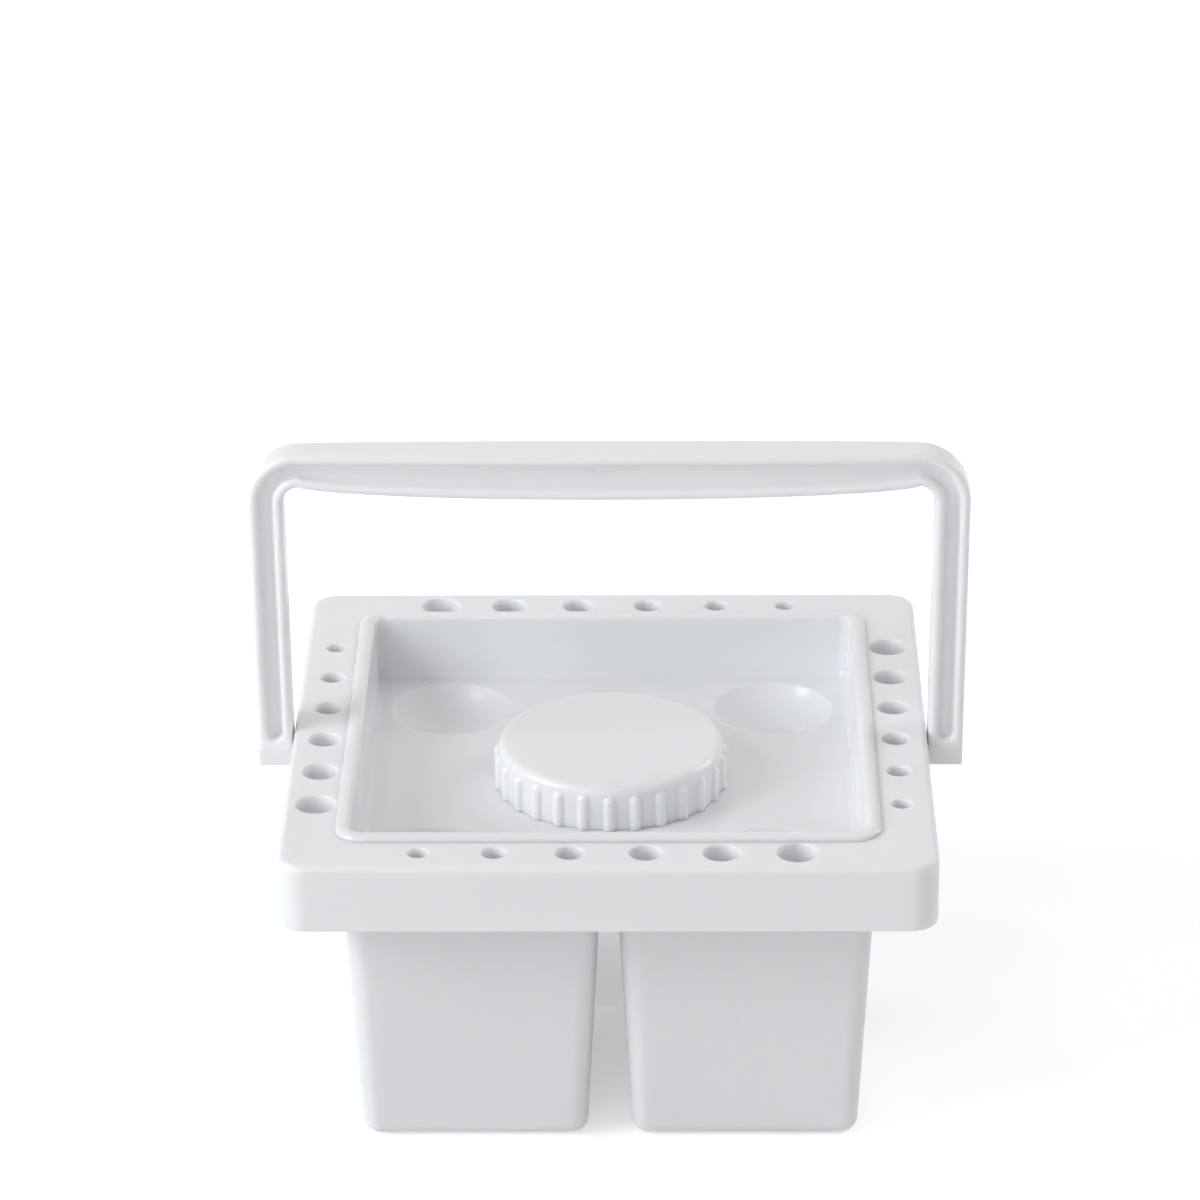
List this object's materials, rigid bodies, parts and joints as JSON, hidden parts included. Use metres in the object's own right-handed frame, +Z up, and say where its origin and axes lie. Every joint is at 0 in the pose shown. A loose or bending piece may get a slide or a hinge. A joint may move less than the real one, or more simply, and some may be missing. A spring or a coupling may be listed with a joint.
{
  "type": "brush washer with lid",
  "caption": "Square brush washer with water tubs, a brim pierced for brushes, a lift-off palette lid with a screw-capped neck, and a swinging handle.",
  "frame": {"origin": "middle of the plane that the tubs stand on", "axes": "+X to the user's right along the handle's pivot, +Y to the back, +Z up"},
  "size_m": [0.1796, 0.16, 0.1605],
  "materials": {
    "white_plastic": "glossy injection-moulded polypropylene with a faint flow texture",
    "seal_foam": "soft closed-cell foam sheet"
  },
  "bodies": {
    "tub": {"tub": "white_plastic"},
    "handle": {"handle": "white_plastic"},
    "lid": {"palette_lid": "white_plastic"},
    "liner": {"cap_liner": "seal_foam"},
    "cap": {"screw_cap": "white_plastic"}
  },
  "joints": [
    {"name": "handle_swing", "type": "hinge", "parent": "tub", "child": "handle", "pos_m": [0, 0, 0.0774], "axis": [1, 0, 0], "range_deg": [-79, 79]},
    {"name": "lid_lift", "type": "slide", "parent": "tub", "child": "lid", "axis": [0, 0, 1], "range_m": [0, 0.045]},
    {"name": "cap_rise", "type": "slide", "parent": "lid", "child": "liner", "axis": [0, 0, 1], "range_m": [0, 0.00368]},
    {"name": "cap_turn", "type": "hinge", "parent": "liner", "child": "cap", "pos_m": [0, 0, 0.0757], "axis": [0, 0, 1], "range_deg": [0, 330]}
  ],
  "couplings": [
    {"joint": "cap_rise", "follows": "cap_turn", "m_per_rad": 0.00063662}
  ]
}
